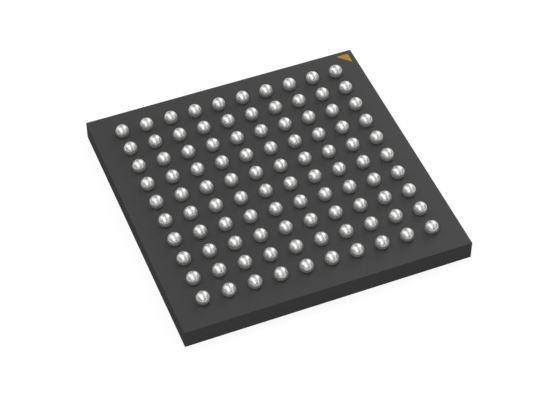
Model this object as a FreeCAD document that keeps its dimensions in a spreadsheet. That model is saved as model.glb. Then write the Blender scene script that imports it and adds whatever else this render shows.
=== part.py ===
import FreeCAD, Part
import os
import Sketcher

os.makedirs("parts", exist_ok=True)
doc = FreeCAD.newDocument("bga_chip")

# Driving dimensions in millimetres, and counts
SIZES = [
    ("balls_per_side", "10", "balls along each side of the full grid"),
    ("ball_pitch", "0.8", "between the centres of neighbouring balls"),
    ("edge_margin", "0.9", "from the outer ball centres to the sawn edge"),
    ("ball_diameter", "0.43", "solder ball after reflow"),
    ("land_diameter", "0.34", "mask opening that the solder wets"),
    ("mask_thickness", "0.025", "solder mask on either side of the core"),
    ("core_thickness", "0.13", "glass and resin core of the substrate"),
    ("copper_thickness", "0.018", "die pad and bond fingers on the core"),
    ("attach_thickness", "0.025", "adhesive between the die and its pad"),
    ("die_thickness", "0.15", "silicon, ground thin"),
    ("loop_height", "0.12", "bond wire above the face of the die"),
    ("mould_cover", "0.162", "moulding between the wire loops and the marking face"),
    ("die_side", "3.8", "square die"),
    ("attach_margin", "0.05", "adhesive squeezed out beyond the die"),
    ("pad_margin", "0.15", "copper pad beyond the die"),
    ("finger_gap", "0.5", "bare core between the die pad and the bond fingers"),
    ("finger_length", "0.4", "bond finger, away from the die"),
    ("finger_width", "0.14", "bond finger, along the side of the die"),
    ("window_margin", "0.15", "from the bond fingers to the edge of the solder mask"),
    ("wires_per_side", "6", "bond wires along each side of the die"),
    ("wire_pitch", "0.45", "between neighbouring bond wires"),
    ("wire_width", "0.03", "gold bond wire"),
    ("wire_inset", "0.1", "from the edge of the die to the wires on it"),
    ("stitch_inset", "0.12", "from the inner end of a finger to the wire on it"),
    ("mark_leg", "0.4", "short sides of the corner mark"),
    ("mark_inset", "0.15", "from the sawn edges to the corner mark"),
    ("dot_diameter", "0.5", "moulded dimple on the marking face"),
    ("dot_depth", "0.04", "moulded dimple on the marking face"),
    ("dot_inset", "0.9", "from the sawn edges to the centre of the dimple"),
]
sheet = doc.addObject("Spreadsheet::Sheet", "Sizes")
for line, (alias, value, meaning) in enumerate(SIZES, start=1):
    sheet.set(f"A{line}", alias)
    sheet.set(f"B{line}", value)
    sheet.set(f"C{line}", meaning)
    sheet.setAlias(f"B{line}", alias)
doc.recompute()

# Lengths that follow from the sheet, as expressions that the features share
GRID_SPAN = "(Sizes.balls_per_side - 1) * Sizes.ball_pitch"
BODY_SIDE = f"({GRID_SPAN} + 2 * Sizes.edge_margin)"
PAD_SIDE = "(Sizes.die_side + 2 * Sizes.pad_margin)"
FINGER_START = f"({PAD_SIDE} / 2 + Sizes.finger_gap)"
WINDOW_SIDE = f"(2 * ({FINGER_START} + Sizes.finger_length + Sizes.window_margin))"
WIRE_SPAN = "((Sizes.wires_per_side - 1) * Sizes.wire_pitch)"

# Levels above the marking face, on which the part lies with its balls up
DIE_FACE = "(Sizes.mould_cover + Sizes.loop_height)"
DIE_BACK = f"({DIE_FACE} + Sizes.die_thickness)"
PAD_FACE = f"({DIE_BACK} + Sizes.attach_thickness)"
CORE_FACE = f"({PAD_FACE} + Sizes.copper_thickness)"
CORE_BACK = f"({CORE_FACE} + Sizes.core_thickness)"
BALL_FACE = f"({CORE_BACK} + Sizes.mask_thickness)"
MOULD_FACE = f"({CORE_FACE} - Sizes.mask_thickness)"

# The ball is cut off by the opening that it wets, at this height below its centre
BALL_CENTRE = "(sqrt(Sizes.ball_diameter ^ 2 - Sizes.land_diameter ^ 2) / 2)"
BALL_SIDES = 10
LAND_SIDES = 6
ROW_LETTERS = "abcdefghjklmnprtuvwy"


def new_body(name):
    body = doc.addObject("PartDesign::Body", name)
    body.Label = name
    body.AllowCompound = True
    return body


def origin_feature(body, role):
    return next(feature for feature in body.Origin.OriginFeatures if feature.Role == role)


def attached_sketch(body, name, plane, height="0"):
    sketch = body.newObject("Sketcher::SketchObject", name)
    sketch.AttachmentSupport = [(origin_feature(body, plane), "")]
    sketch.MapMode = "FlatFace"
    sketch.setExpression("AttachmentOffset.Base.z", height)
    return sketch


def bind(sketch, constraint, name, expression):
    index = sketch.addConstraint(constraint)
    sketch.renameConstraint(index, name)
    sketch.setExpression(f"Constraints.{name}", expression)


def outline_sketch(body, name, plane, corners, height="0"):
    """A closed outline whose corners are placed by expressions"""
    sketch = attached_sketch(body, name, plane, height)
    count = len(corners)
    for k in range(count):
        start = FreeCAD.Vector(k, k * k, 0)
        end = FreeCAD.Vector((k + 1) % count, ((k + 1) % count) ** 2, 0)
        sketch.addGeometry(Part.LineSegment(start, end), False)
    for k, (across, up) in enumerate(corners):
        sketch.addConstraint(Sketcher.Constraint("Coincident", k, 1, (k - 1) % count, 2))
        bind(sketch, Sketcher.Constraint("DistanceX", -1, 1, k, 1, k), f"across_{k}", across)
        bind(sketch, Sketcher.Constraint("DistanceY", -1, 1, k, 1, k * k), f"up_{k}", up)
    return sketch


def polygon_sketch(body, name, sides, diameter, height="0"):
    """A regular polygon inside a construction circle, with one corner on the X axis"""
    sketch = attached_sketch(body, name, "XY_Plane", height)
    spoke = FreeCAD.Vector(1, 0, 0)
    turn = FreeCAD.Rotation(FreeCAD.Vector(0, 0, 1), 360 / sides)
    for k in range(sides):
        following = turn.multVec(spoke)
        sketch.addGeometry(Part.LineSegment(spoke, following), False)
        spoke = following
    circle = Part.Circle(FreeCAD.Vector(0, 0, 0), FreeCAD.Vector(0, 0, 1), 1)
    rim = sketch.addGeometry(circle, True)
    sketch.addConstraint(Sketcher.Constraint("Coincident", rim, 3, -1, 1))
    sketch.addConstraint(Sketcher.Constraint("PointOnObject", 0, 1, -1))
    for k in range(sides):
        sketch.addConstraint(Sketcher.Constraint("Coincident", k, 2, (k + 1) % sides, 1))
        sketch.addConstraint(Sketcher.Constraint("PointOnObject", k, 1, rim))
    for k in range(1, sides):
        sketch.addConstraint(Sketcher.Constraint("Equal", 0, k))
    bind(sketch, Sketcher.Constraint("Diameter", rim, 2), "diameter", diameter)
    return sketch


def pad(body, sketch, thickness):
    feature = body.newObject("PartDesign::Pad", f"{body.Name}_pad")
    feature.Profile = sketch
    feature.setExpression("Length", thickness)
    return feature


def pocket(body, sketch, depth):
    """A cut that runs up from a sketch in the face that points down"""
    feature = body.newObject("PartDesign::Pocket", f"{body.Name}_pocket")
    feature.Profile = sketch
    feature.Reversed = True
    feature.setExpression("Length", depth)
    return feature


def repeat_along(body, feature, span, copies, grid=False):
    """Copies along the X axis of the body, and along its Y axis too for a square grid"""
    pattern = body.newObject("PartDesign::LinearPattern", f"{body.Name}_pattern")
    pattern.Originals = [feature]
    pattern.Direction = (origin_feature(body, "X_Axis"), [""])
    pattern.setExpression("Length", span)
    pattern.setExpression("Occurrences", copies)
    if grid:
        pattern.Direction2 = (origin_feature(body, "Y_Axis"), [""])
        pattern.setExpression("Length2", span)
        pattern.setExpression("Occurrences2", copies)
    body.Tip = pattern
    return pattern


def square_corners(side, centre="0"):
    low = f"{centre} - {side} / 2"
    high = f"{centre} + {side} / 2"
    return [(low, low), (high, low), (high, high), (low, high)]


def slab(name, side, level, thickness):
    """A plain square layer, centred on the axis of the part"""
    layer = doc.addObject("Part::Box", name)
    layer.Label = name
    layer.setExpression("Length", side)
    layer.setExpression("Width", side)
    layer.setExpression("Height", thickness)
    layer.setExpression("Placement.Base.x", f"-{side} / 2")
    layer.setExpression("Placement.Base.y", f"-{side} / 2")
    layer.setExpression("Placement.Base.z", level)
    return layer


# Solder balls: a faceted sphere cut off where it wets its land, and nine copies along a row
def ball_row(letter, row):
    body = new_body(f"ball_row_{letter}")
    rings = [polygon_sketch(body, f"wetted_base_{letter}", BALL_SIDES, "Sizes.land_diameter")]
    for latitude in (0, 30, 60):
        across = f"Sizes.ball_diameter * cos({latitude}deg)"
        height = f"{BALL_CENTRE} + Sizes.ball_diameter / 2 * sin({latitude}deg)"
        name = f"ring_{latitude}_{letter}"
        rings.append(polygon_sketch(body, name, BALL_SIDES, across, height))
    crown = attached_sketch(body, f"crown_{letter}", "XY_Plane",
                            f"{BALL_CENTRE} + Sizes.ball_diameter / 2")
    crown.addGeometry(Part.Point(FreeCAD.Vector(0, 0, 0)), False)
    crown.addConstraint(Sketcher.Constraint("Coincident", 0, 1, -1, 1))
    ball = body.newObject("PartDesign::AdditiveLoft", f"ball_{letter}")
    ball.Profile = rings[0]
    ball.Sections = rings[1:] + [crown]
    ball.Ruled = True
    repeat_along(body, ball, GRID_SPAN, "Sizes.balls_per_side")
    body.setExpression("Placement.Base.x", f"-({GRID_SPAN}) / 2")
    body.setExpression("Placement.Base.y", f"({GRID_SPAN}) / 2 - {row} * Sizes.ball_pitch")
    body.setExpression("Placement.Base.z", BALL_FACE)
    return body


# Ball lands: plated copper, flush with the solder mask around them
def ball_lands():
    body = new_body("ball_lands")
    outline = polygon_sketch(body, "land_outline", LAND_SIDES, "Sizes.land_diameter")
    land = pad(body, outline, "Sizes.mask_thickness")
    repeat_along(body, land, GRID_SPAN, "Sizes.balls_per_side", grid=True)
    body.setExpression("Placement.Base.x", f"-({GRID_SPAN}) / 2")
    body.setExpression("Placement.Base.y", f"-({GRID_SPAN}) / 2")
    body.setExpression("Placement.Base.z", CORE_BACK)
    return body


# Corner mark: a gold-plated triangle whose square corner points at the corner of the body
def mark_corners():
    """Corners from the first ball of the grid, which the mark lies diagonally across from"""
    outer = f"({GRID_SPAN} + Sizes.edge_margin - Sizes.mark_inset)"
    inner = f"({outer} - Sizes.mark_leg)"
    return [(outer, outer), (inner, outer), (outer, inner)]


def corner_mark():
    body = new_body("corner_mark")
    outline = outline_sketch(body, "mark_outline", "XY_Plane", mark_corners())
    pad(body, outline, "Sizes.mask_thickness")
    body.setExpression("Placement.Base.x", f"-({GRID_SPAN}) / 2")
    body.setExpression("Placement.Base.y", f"-({GRID_SPAN}) / 2")
    body.setExpression("Placement.Base.z", CORE_BACK)
    return body


# Ball-side solder mask: one coat with an opening for each land and one for the corner mark
def ball_side_mask():
    body = new_body("ball_side_mask")
    middle = f"({GRID_SPAN}) / 2"
    outline = outline_sketch(body, "ball_mask_outline", "XY_Plane", square_corners(BODY_SIDE, middle))
    pad(body, outline, "Sizes.mask_thickness")
    window = outline_sketch(body, "mark_window", "XY_Plane", mark_corners())
    pocket(body, window, "Sizes.mask_thickness")
    rim = polygon_sketch(body, "land_opening", LAND_SIDES, "Sizes.land_diameter")
    opening = pocket(body, rim, "Sizes.mask_thickness")
    repeat_along(body, opening, GRID_SPAN, "Sizes.balls_per_side", grid=True)
    body.setExpression("Placement.Base.x", f"-({GRID_SPAN}) / 2")
    body.setExpression("Placement.Base.y", f"-({GRID_SPAN}) / 2")
    body.setExpression("Placement.Base.z", CORE_BACK)
    return body


# Die-side solder mask: a frame around the window with the die and the bond fingers
def die_side_mask():
    body = new_body("die_side_mask")
    outline = outline_sketch(body, "die_mask_outline", "XY_Plane", square_corners(BODY_SIDE))
    pad(body, outline, "Sizes.mask_thickness")
    window = outline_sketch(body, "bond_window", "XY_Plane", square_corners(WINDOW_SIDE))
    pocket(body, window, "Sizes.mask_thickness")
    body.setExpression("Placement.Base.z", MOULD_FACE)
    return body


# Bond fingers: a row of plated copper strips on the core, beyond one side of the die
def bond_fingers(side, turn):
    body = new_body(f"bond_fingers_{side}")
    left = f"-{WIRE_SPAN} / 2 - Sizes.finger_width / 2"
    right = f"-{WIRE_SPAN} / 2 + Sizes.finger_width / 2"
    near = FINGER_START
    far = f"{FINGER_START} + Sizes.finger_length"
    corners = [(left, near), (right, near), (right, far), (left, far)]
    outline = outline_sketch(body, f"finger_outline_{side}", "XY_Plane", corners)
    finger = pad(body, outline, "Sizes.copper_thickness")
    repeat_along(body, finger, WIRE_SPAN, "Sizes.wires_per_side")
    body.Placement.Rotation = FreeCAD.Rotation(FreeCAD.Vector(0, 0, 1), turn)
    body.setExpression("Placement.Base.z", PAD_FACE)
    return body


# Bond wires: gold, up from the die to the top of the loop and down in one slope to a finger
def bond_wires(side, turn):
    body = new_body(f"bond_wires_{side}")
    root = "Sizes.die_side / 2 - Sizes.wire_inset"
    stitch = f"{FINGER_START} + Sizes.stitch_inset"
    corners = [
        (f"{root} - Sizes.wire_width", DIE_FACE),
        (f"{root} - Sizes.wire_width", "Sizes.mould_cover"),
        (f"{stitch} + Sizes.wire_width", PAD_FACE),
        (stitch, PAD_FACE),
        (root, "Sizes.mould_cover + Sizes.wire_width"),
        (root, DIE_FACE),
    ]
    outline = outline_sketch(body, f"wire_outline_{side}", "YZ_Plane", corners, f"-{WIRE_SPAN} / 2")
    wire = pad(body, outline, "Sizes.wire_width")
    wire.Midplane = True
    repeat_along(body, wire, WIRE_SPAN, "Sizes.wires_per_side")
    body.Placement.Rotation = FreeCAD.Rotation(FreeCAD.Vector(0, 0, 1), turn)
    return body


# Mould cap: black epoxy that fills every space up to the substrate, with a dimple below
def mould_cap(enclosed):
    block = slab("mould_block", BODY_SIDE, "0", CORE_FACE)
    inlay = doc.addObject("Part::MultiFuse", "mould_inlay")
    inlay.Shapes = enclosed
    filled = doc.addObject("Part::Cut", "mould_filling")
    filled.Base = block
    filled.Tool = inlay
    dot = doc.addObject("Part::Cylinder", "dot_core")
    dot.setExpression("Radius", "Sizes.dot_diameter / 2")
    dot.setExpression("Height", "Sizes.dot_depth")
    dot.setExpression("Placement.Base.x", f"{BODY_SIDE} / 2 - Sizes.dot_inset")
    dot.setExpression("Placement.Base.y", f"{BODY_SIDE} / 2 - Sizes.dot_inset")
    cap = doc.addObject("Part::Cut", "mould_cap")
    cap.Label = "mould_cap"
    cap.Base = filled
    cap.Tool = dot
    return cap


sides = [("back", 0), ("left", 90), ("front", 180), ("right", 270)]
fingers = [bond_fingers(side, turn) for side, turn in sides]
wires = [bond_wires(side, turn) for side, turn in sides]
die = slab("die", "Sizes.die_side", DIE_FACE, "Sizes.die_thickness")
attach = slab("die_attach", "(Sizes.die_side + 2 * Sizes.attach_margin)", DIE_BACK,
              "Sizes.attach_thickness")
die_pad = slab("die_pad", PAD_SIDE, PAD_FACE, "Sizes.copper_thickness")
inner_mask = die_side_mask()
enclosed = [die, attach, die_pad, inner_mask] + fingers + wires
parts = [mould_cap(enclosed)] + enclosed
parts.append(slab("substrate_core", BODY_SIDE, CORE_FACE, "Sizes.core_thickness"))
parts.append(ball_side_mask())
parts.append(ball_lands())
parts.append(corner_mark())
rows = ROW_LETTERS[:int(sheet.balls_per_side)]
parts += [ball_row(letter, row) for row, letter in enumerate(rows)]
doc.recompute()

for item in doc.Objects:
    if "Invalid" in item.State or "Error" in item.State:
        raise RuntimeError(f"{item.Label} did not recompute")
for part in parts:
    if part.Shape.isNull() or not part.Shape.isValid():
        raise RuntimeError(f"{part.Label} has no valid shape")
    part.Shape.exportStep(f"parts/{part.Label}.step")
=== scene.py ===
import math

import bmesh
import bpy
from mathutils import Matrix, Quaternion, Vector


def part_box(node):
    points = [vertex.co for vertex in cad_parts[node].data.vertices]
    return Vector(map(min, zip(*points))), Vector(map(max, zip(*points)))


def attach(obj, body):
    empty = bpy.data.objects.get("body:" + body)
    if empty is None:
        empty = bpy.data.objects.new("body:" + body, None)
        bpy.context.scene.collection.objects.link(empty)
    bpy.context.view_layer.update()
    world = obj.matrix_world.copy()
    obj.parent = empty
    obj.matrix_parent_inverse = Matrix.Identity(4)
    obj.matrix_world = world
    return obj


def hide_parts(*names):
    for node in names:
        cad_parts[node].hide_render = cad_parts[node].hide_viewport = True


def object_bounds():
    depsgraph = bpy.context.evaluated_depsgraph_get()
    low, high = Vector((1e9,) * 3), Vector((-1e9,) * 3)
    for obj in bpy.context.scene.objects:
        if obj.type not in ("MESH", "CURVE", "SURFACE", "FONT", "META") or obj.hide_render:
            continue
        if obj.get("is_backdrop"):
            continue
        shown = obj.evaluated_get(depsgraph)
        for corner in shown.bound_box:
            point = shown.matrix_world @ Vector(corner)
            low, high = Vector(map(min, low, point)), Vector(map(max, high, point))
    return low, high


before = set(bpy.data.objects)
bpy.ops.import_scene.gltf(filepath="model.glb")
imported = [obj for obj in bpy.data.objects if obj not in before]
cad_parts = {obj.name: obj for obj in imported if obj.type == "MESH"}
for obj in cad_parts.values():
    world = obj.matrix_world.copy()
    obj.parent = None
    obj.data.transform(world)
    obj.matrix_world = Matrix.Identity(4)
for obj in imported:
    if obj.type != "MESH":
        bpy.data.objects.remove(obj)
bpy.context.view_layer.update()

# Substrate core: glass cloth in dark resin, sawn out of a strip that holds many of them.
# Only its cut edges show, as a band between the moulding and the solder mask. Every length
# here and below is in metres, so 1e-3 is a millimetre.
LAMINATE_DARK = (0.071, 0.071, 0.0715, 1.0)
LAMINATE_LIGHT = (0.082, 0.082, 0.0825, 1.0)
LAMINATE_ROUGHNESS = (0.62, 0.74)
SAWN_SHEEN = 0.0
BUNDLE_WIDTH = 0.3e-3
BUNDLE_HEIGHT = 75e-6
THREAD_WIDTH = 30e-6
THREAD_HEIGHT = 10e-6
THREAD_RELIEF = 1e-6


class Socket:
    """An output of a shader node, so that shader maths reads as plain expressions."""

    def __init__(self, tree, output=None):
        self.tree = tree
        self.output = output

    def node(self, kind, settings, inputs, result=0):
        """A node in the same tree: its settings first, then the values or links of its sockets."""
        made = self.tree.nodes.new(kind)
        for name, value in settings.items():
            if name == "stops":
                for _ in value[2:]:
                    made.color_ramp.elements.new(1.0)
                for stop, (position, colour) in zip(made.color_ramp.elements, value):
                    stop.position = position
                    stop.color = colour
            else:
                setattr(made, name, value)
        for key, value in inputs.items():
            if isinstance(value, Socket):
                self.tree.links.new(value.output, made.inputs[key])
            else:
                made.inputs[key].default_value = value
        return Socket(self.tree, made.outputs[result]) if made.outputs else None

    def maths(self, operation, other):
        return self.node("ShaderNodeMath", {"operation": operation}, {0: self, 1: other})

    def __add__(self, other):
        return self.maths("ADD", other)

    def __mul__(self, other):
        return self.maths("MULTIPLY", other)

    __radd__ = __add__
    __rmul__ = __mul__


def finish(name, recipe):
    """A material whose shader gets the values and links that recipe(place) names for it."""
    material = bpy.data.materials.new(name)
    material.use_nodes = True
    material.node_tree.nodes.clear()
    place = Socket(material.node_tree).node("ShaderNodeTexCoord", {}, {}, "Object")
    shader = place.node("ShaderNodeBsdfPrincipled", {}, recipe(place))
    place.node("ShaderNodeOutputMaterial", {}, {"Surface": shader})
    return material


def dress(node, material):
    """A CAD node keeps its shape and gets its finish."""
    for material_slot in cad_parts[node].material_slots:
        material_slot.material = material


def patches(place, width, height=None, detail=2.0):
    """Soft random values around a half, in patches of about this width and height."""
    counts = (1 / width, 1 / width, 1 / (height or width))
    vector = place.node("ShaderNodeVectorMath", {"operation": "MULTIPLY"}, {0: place, 1: counts})
    return place.node("ShaderNodeTexNoise", {}, {"Vector": vector, "Scale": 1.0, "Detail": detail})


def between(amount, low, high):
    """A number between two, by an amount from 0 to 1."""
    return low + (high - low) * amount


def blend(amount, low, high):
    """A colour between two, by an amount from 0 to 1."""
    return amount.node("ShaderNodeMix", {"data_type": "RGBA"}, {0: amount, 6: low, 7: high}, 2)


def relief(height, depth):
    """The surface's normal where it rises and falls by about this depth."""
    return height.node("ShaderNodeBump", {}, {"Height": height, "Distance": depth, "Strength": 1.0})


def laminate(place):
    bundles = patches(place, BUNDLE_WIDTH, BUNDLE_HEIGHT)
    threads = patches(place, THREAD_WIDTH, THREAD_HEIGHT)
    return {
        "Base Color": blend(bundles, LAMINATE_DARK, LAMINATE_LIGHT),
        "Roughness": between(threads, *LAMINATE_ROUGHNESS),
        "Specular IOR Level": SAWN_SHEEN,
        "Normal": relief(threads, THREAD_RELIEF),
    }


dress("substrate_core", finish("sawn_laminate", laminate))

# Solder mask: a dark satin lacquer printed on both sides of the core and cured. It levels out
# over the copper beneath, so that the wide face between the balls is almost flat. Its cut edges
# are as dull as the rest of the sawn sides.
MASK_DARK = (0.043, 0.043, 0.0436, 1.0)
MASK_LIGHT = (0.050, 0.050, 0.0506, 1.0)
MASK_ROUGHNESS = (0.6, 0.7)
MASK_GLOSS = 0.6
MASK_GLOSS_ROUGHNESS = 0.40
MASK_CLOUD = 1.2e-3
MASK_GRAIN = 25e-6
MASK_RELIEF = 0.625e-6


def lacquer(place):
    clouds = patches(place, MASK_CLOUD)
    grain = patches(place, MASK_GRAIN)
    facing = place.node("ShaderNodeTexCoord", {}, {}, "Normal")
    upright = place.node("ShaderNodeSeparateXYZ", {}, {0: facing}, "Z")
    printed = upright * upright
    return {
        "Base Color": blend(printed, LAMINATE_DARK, blend(clouds, MASK_DARK, MASK_LIGHT)),
        "Roughness": between(grain, *MASK_ROUGHNESS),
        "Specular IOR Level": SAWN_SHEEN,
        "Coat Weight": MASK_GLOSS * printed,
        "Coat Roughness": MASK_GLOSS_ROUGHNESS,
        "Normal": relief(grain, MASK_RELIEF),
    }


solder_mask = finish("satin_solder_mask", lacquer)
dress("ball_side_mask", solder_mask)
dress("die_side_mask", solder_mask)

# Corner mark: a triangle of copper left bare by the mask beside the first ball and plated with
# gold, so that the chip is placed the right way round.
GOLD_DEEP = (0.42, 0.225, 0.022, 1.0)
GOLD_PALE = (0.57, 0.33, 0.060, 1.0)
PLATING_ROUGHNESS = (0.34, 0.50)
PLATING_CLOUD = 0.12e-3
PLATING_GRAIN = 12e-6
PLATING_RELIEF = 1e-6


def gold_plating(place):
    clouds = patches(place, PLATING_CLOUD)
    grain = patches(place, PLATING_GRAIN)
    return {
        "Base Color": blend(clouds, GOLD_DEEP, GOLD_PALE),
        "Metallic": 1.0,
        "Roughness": between(grain, *PLATING_ROUGHNESS),
        "Normal": relief(grain, PLATING_RELIEF),
    }


gold = finish("gold_plating", gold_plating)
dress("corner_mark", gold)

# Bond fingers: strips of the die-side copper around the die, plated like the corner mark. They
# are buried in the moulding.
for side in ("back", "left", "front", "right"):
    dress(f"bond_fingers_{side}", gold)

# Bare copper: the lands under the balls and the pad under the die, etched from the foil on the
# core and covered by what is soldered or glued to them.
COPPER_DARK = (0.50, 0.20, 0.11, 1.0)
COPPER_LIGHT = (0.68, 0.30, 0.18, 1.0)
COPPER_ROUGHNESS = (0.45, 0.65)
ETCH_GRAIN = 20e-6
ETCH_RELIEF = 2e-6


def etched_copper(place):
    grain = patches(place, ETCH_GRAIN, detail=4.0)
    return {
        "Base Color": blend(grain, COPPER_DARK, COPPER_LIGHT),
        "Metallic": 1.0,
        "Roughness": between(grain, *COPPER_ROUGHNESS),
        "Normal": relief(grain, ETCH_RELIEF),
    }


copper = finish("etched_copper", etched_copper)
dress("ball_lands", copper)
dress("die_pad", copper)

# Die attach: resin paste full of silver flakes, dabbed on the die pad. The die is pressed into
# it and squeezes a little of it out around its foot, and then it is cured.
PASTE_DARK = (0.36, 0.36, 0.35, 1.0)
PASTE_LIGHT = (0.52, 0.52, 0.50, 1.0)
PASTE_SILVER = 0.4
PASTE_ROUGHNESS = (0.5, 0.7)
PASTE_FLAKE = 20e-6
PASTE_RELIEF = 3.33e-6


def silver_paste(place):
    flakes = patches(place, PASTE_FLAKE, detail=4.0)
    return {
        "Base Color": blend(flakes, PASTE_DARK, PASTE_LIGHT),
        "Metallic": PASTE_SILVER,
        "Roughness": between(flakes, *PASTE_ROUGHNESS),
        "Normal": relief(flakes, PASTE_RELIEF),
    }


dress("die_attach", finish("silver_paste", silver_paste))

# Die: a square of silicon with its circuit on top, ground thin, diced out of its wafer and glued
# down. Its sides keep the fine level lines of the dicing blade.
SILICON_DARK = (0.055, 0.060, 0.075, 1.0)
SILICON_LIGHT = (0.090, 0.098, 0.120, 1.0)
SILICON_METAL = 0.6
SILICON_ROUGHNESS = (0.16, 0.26)
CIRCUIT_BLOCK = 0.5e-3
DICING_LINE = 4e-6
DICING_RELIEF = 0.4e-6


def silicon(place):
    blocks = patches(place, CIRCUIT_BLOCK, detail=0.0)
    lines = patches(place, CIRCUIT_BLOCK, DICING_LINE)
    return {
        "Base Color": blend(blocks, SILICON_DARK, SILICON_LIGHT),
        "Metallic": SILICON_METAL,
        "Roughness": between(lines, *SILICON_ROUGHNESS),
        "Normal": relief(lines, DICING_RELIEF),
    }


dress("die", finish("diced_silicon", silicon))

# Bond wires: fine drawn gold, welded to the die at one end and stitched to a bond finger at the
# other, in a low loop that the moulding holds.
WIRE_DARK = (0.74, 0.44, 0.09, 1.0)
WIRE_LIGHT = (0.86, 0.56, 0.16, 1.0)
WIRE_ROUGHNESS = (0.2, 0.3)
DRAWN_RUN = 36e-6
DRAWN_LINE = 6e-6
DRAWN_RELIEF = 0.6e-6


def drawn_gold(place):
    lines = patches(place, DRAWN_RUN, DRAWN_LINE)
    return {
        "Base Color": blend(lines, WIRE_DARK, WIRE_LIGHT),
        "Metallic": 1.0,
        "Roughness": between(lines, *WIRE_ROUGHNESS),
        "Normal": relief(lines, DRAWN_RELIEF),
    }


bond_wire = finish("drawn_gold_wire", drawn_gold)
for side in ("back", "left", "front", "right"):
    dress(f"bond_wires_{side}", bond_wire)

# Mould cap: black epoxy full of silica, pressed over the strip and sawn through with it. The
# blade leaves fine level lines on the sides, and the mould leaves a matt marking face.
EPOXY_DARK = (0.072, 0.072, 0.0725, 1.0)
EPOXY_LIGHT = (0.081, 0.081, 0.0815, 1.0)
EPOXY_ROUGHNESS = (0.62, 0.78)
EPOXY_CLOUD = 0.9e-3
EPOXY_RELIEF = 2e-6
SILICA_GRAIN = 30e-6
SAW_RUN = 1.2e-3
SAW_LINE = 12e-6


def moulded_epoxy(place):
    clouds = patches(place, EPOXY_CLOUD)
    grain = patches(place, SILICA_GRAIN, detail=3.0)
    lines = patches(place, SAW_RUN, SAW_LINE)
    surface = 0.5 * (grain + lines)
    return {
        "Base Color": blend(clouds, EPOXY_DARK, EPOXY_LIGHT),
        "Roughness": between(surface, *EPOXY_ROUGHNESS),
        "Specular IOR Level": SAWN_SHEEN,
        "Normal": relief(surface, EPOXY_RELIEF),
    }


dress("mould_cap", finish("moulded_epoxy", moulded_epoxy))

# Solder balls: a tin alloy, set on the fluxed lands and melted there, so that each one is a
# bright sphere cut off where it wets its land. The grid is ten rows of ten.
BALL_DIAMETER = 0.43e-3
WETTED_DIAMETER = 0.34e-3
BALLS_IN_ROW = 10
ROW_LETTERS = "abcdefghjk"
TURN_STEPS = 48
ARC_STEPS = 22
TIN_DARK = (0.66, 0.67, 0.655, 1.0)
TIN_LIGHT = (0.80, 0.81, 0.795, 1.0)
TIN_METAL = 0.81
TIN_ROUGHNESS = (0.31, 0.37)
TIN_CRYSTAL = 70e-6
TIN_GRAIN = 12e-6
TIN_GRAIN_SHARE = 0.2
TIN_RELIEF = 0.2917e-6


def bright_solder(place):
    crystals = patches(place, TIN_CRYSTAL, detail=1.0)
    grain = patches(place, TIN_GRAIN)
    return {
        "Base Color": blend(crystals, TIN_DARK, TIN_LIGHT),
        "Metallic": TIN_METAL,
        "Roughness": between(grain, *TIN_ROUGHNESS),
        "Normal": relief(crystals + TIN_GRAIN_SHARE * grain, TIN_RELIEF),
    }


solder = finish("bright_solder", bright_solder)


def add_ball(mesh, foot):
    """A sphere cut off level with the foot, which is the middle of its wetted base."""
    radius = BALL_DIAMETER / 2
    lowest = -math.acos(WETTED_DIAMETER / BALL_DIAMETER)
    turns = [2 * math.pi * k / TURN_STEPS for k in range(TURN_STEPS)]
    rings = []
    for step in range(ARC_STEPS):
        latitude = lowest + (math.pi / 2 - lowest) * step / ARC_STEPS
        across = radius * math.cos(latitude)
        height = radius * (math.sin(latitude) - math.sin(lowest))
        around = [Vector((across * math.cos(a), across * math.sin(a), height)) for a in turns]
        rings.append([mesh.verts.new(foot + point) for point in around])
    crown = mesh.verts.new(foot + Vector((0, 0, radius * (1 - math.sin(lowest)))))
    mesh.faces.new(rings[0][::-1]).smooth = False
    for low, high in zip(rings, rings[1:]):
        for k in range(TURN_STEPS):
            mesh.faces.new((low[k - 1], low[k], high[k], high[k - 1])).smooth = True
    for k in range(TURN_STEPS):
        mesh.faces.new((rings[-1][k - 1], rings[-1][k], crown)).smooth = True


def new_piece(name, mesh, material):
    """An object of one material, made from a finished mesh."""
    piece = bpy.data.objects.new(name, bpy.data.meshes.new(name))
    mesh.to_mesh(piece.data)
    mesh.free()
    piece.data.materials.append(material)
    bpy.context.collection.objects.link(piece)
    return piece


for letter in ROW_LETTERS:
    low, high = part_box(f"ball_row_{letter}")
    pitch = (high.x - low.x - BALL_DIAMETER) / (BALLS_IN_ROW - 1)
    mesh = bmesh.new()
    for k in range(BALLS_IN_ROW):
        across = low.x + BALL_DIAMETER / 2 + k * pitch
        add_ball(mesh, Vector((across, (low.y + high.y) / 2, low.z)))
    row = new_piece(f"solder_row_{letter}", mesh, solder)
    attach(row, "root")
    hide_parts(f"ball_row_{letter}")

# Floor: a pale sheet that the chip lies on. What looks at it sees white with the chip's soft
# shadow, and it throws less light up at the sides than it seems to.
FLOOR_HALF_WIDTH = 2.0
FLOOR_LEVEL = -0.02e-3
FLOOR_BOUNCE = (0.30, 0.30, 0.30, 1.0)
FLOOR_SEEN = (0.22, 0.22, 0.22, 1.0)
FLOOR_GLOW = 0.83
GLOW_UNSEEN = (0.0, 0.0, 0.0, 1.0)
GLOW_SEEN = (1.0, 1.0, 1.0, 1.0)


def pale_sheet(place):
    seen = place.node("ShaderNodeLightPath", {}, {}, "Is Camera Ray")
    seen = seen + place.node("ShaderNodeLightPath", {}, {}, "Is Glossy Ray")
    seen = seen + place.node("ShaderNodeLightPath", {}, {}, "Is Transmission Ray")
    return {
        "Base Color": blend(seen, FLOOR_BOUNCE, FLOOR_SEEN),
        "Roughness": 1.0,
        "Specular IOR Level": 0.0,
        "Emission Color": blend(seen, GLOW_UNSEEN, GLOW_SEEN),
        "Emission Strength": FLOOR_GLOW,
    }


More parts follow.
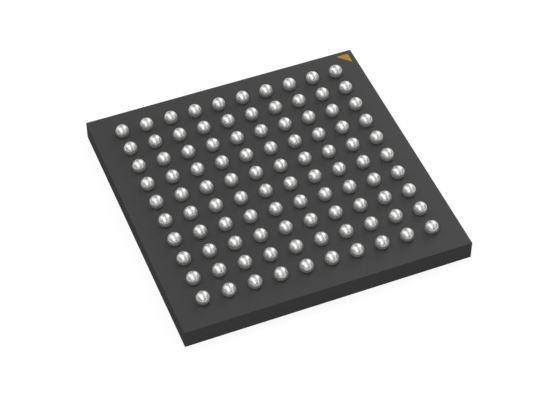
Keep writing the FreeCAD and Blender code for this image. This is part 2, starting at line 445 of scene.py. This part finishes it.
half = FLOOR_HALF_WIDTH
corners = [(-half, -half), (half, -half), (half, half), (-half, half)]
mesh = bmesh.new()
mesh.faces.new([mesh.verts.new((*corner, FLOOR_LEVEL)) for corner in corners])
floor = new_piece("studio_floor", mesh, finish("pale_floor", pale_sheet))
floor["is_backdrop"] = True

# Studio light: a dark room with a paler ceiling, a low grey screen around the table and four
# broad soft lamps, which the balls show as bright windows with grey gaps between them. Heights
# are parts of the way up to the ceiling, and widths and depths are for a distance of one.
ROOM_SCREEN = (0.25, 0.25, 0.25, 1.0)
ROOM_WALL = (0.05, 0.05, 0.05, 1.0)
ROOM_CEILING = (0.51, 0.51, 0.51, 1.0)
SCREEN_TOP = 0.12
WALL_FOOT = 0.14
CEILING_TOP = 1.0
LAMP_DISTANCE = 0.3

world = bpy.data.worlds.new("grey_room")
bpy.context.scene.world = world
world.use_nodes = True
world.node_tree.nodes.clear()
direction = Socket(world.node_tree).node("ShaderNodeTexCoord", {}, {}, "Generated")
height = direction.node("ShaderNodeSeparateXYZ", {}, {0: direction}, "Z")
stops = [(SCREEN_TOP, ROOM_SCREEN), (WALL_FOOT, ROOM_WALL), (CEILING_TOP, ROOM_CEILING)]
room = direction.node("ShaderNodeValToRGB", {"stops": stops}, {0: height})
light = direction.node("ShaderNodeBackground", {}, {"Color": room})
direction.node("ShaderNodeOutputWorld", {}, {"Surface": light})


def hang_lamp(name, turn, climb, roll, width, depth, glow):
    """A soft lamp that faces the chip; turn is from the back towards the right, in degrees."""
    lamp = bpy.data.lights.new(name, "AREA")
    lamp.shape = "RECTANGLE"
    lamp.size = width * LAMP_DISTANCE
    lamp.size_y = depth * LAMP_DISTANCE
    lamp.energy = glow * math.pi * lamp.size * lamp.size_y
    level = math.cos(math.radians(climb))
    outward = Vector((level * math.sin(math.radians(turn)), level * math.cos(math.radians(turn)),
                      math.sin(math.radians(climb))))
    holder = bpy.data.objects.new(name, lamp)
    holder.location = outward * LAMP_DISTANCE
    holder.rotation_mode = "QUATERNION"
    spin = Quaternion((0, 0, 1), math.radians(roll))
    holder.rotation_quaternion = outward.to_track_quat("Z", "Y") @ spin
    bpy.context.collection.objects.link(holder)


hang_lamp("front_left_lamp", turn=-129.0, climb=55.8, roll=-40.0, width=1.88, depth=0.66, glow=1.69)
hang_lamp("back_left_lamp", turn=-44.8, climb=31.8, roll=14.0, width=0.82, depth=0.56, glow=1.27)
hang_lamp("back_right_lamp", turn=50.8, climb=30.7, roll=-32.0, width=0.91, depth=0.64, glow=1.77)
hang_lamp("front_right_lamp", turn=116.0, climb=42.6, roll=44.5, width=1.95, depth=0.34, glow=1.06)

# Camera: above the front left of the chip, looking down on the ball side. Its long lens keeps
# the far balls almost as large as the near ones.
VIEW_TURN = math.radians(22.0)
VIEW_CLIMB = math.radians(47.5)
VIEW_DISTANCE = 53.3e-3
VIEW_NEAREST = 1e-3
VIEW_AIM = Vector((-0.1e-3, -0.8e-3, 0.63e-3))
VIEW_LENS = 114.1

camera = bpy.data.objects.new("camera", bpy.data.cameras.new("camera"))
camera.data.lens = VIEW_LENS
camera.data.clip_start = VIEW_NEAREST
back = Vector((-math.sin(VIEW_TURN) * math.cos(VIEW_CLIMB),
               -math.cos(VIEW_TURN) * math.cos(VIEW_CLIMB), math.sin(VIEW_CLIMB)))
camera.location = VIEW_AIM + back * VIEW_DISTANCE
camera.rotation_mode = "QUATERNION"
camera.rotation_quaternion = (-back).to_track_quat("-Z", "Y")
bpy.context.collection.objects.link(camera)
bpy.context.scene.camera = camera
bpy.context.scene.view_settings.view_transform = "Standard"

# Size: the box of the dressed chip, which has to be the same as the box of the CAD solids.
low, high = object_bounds()
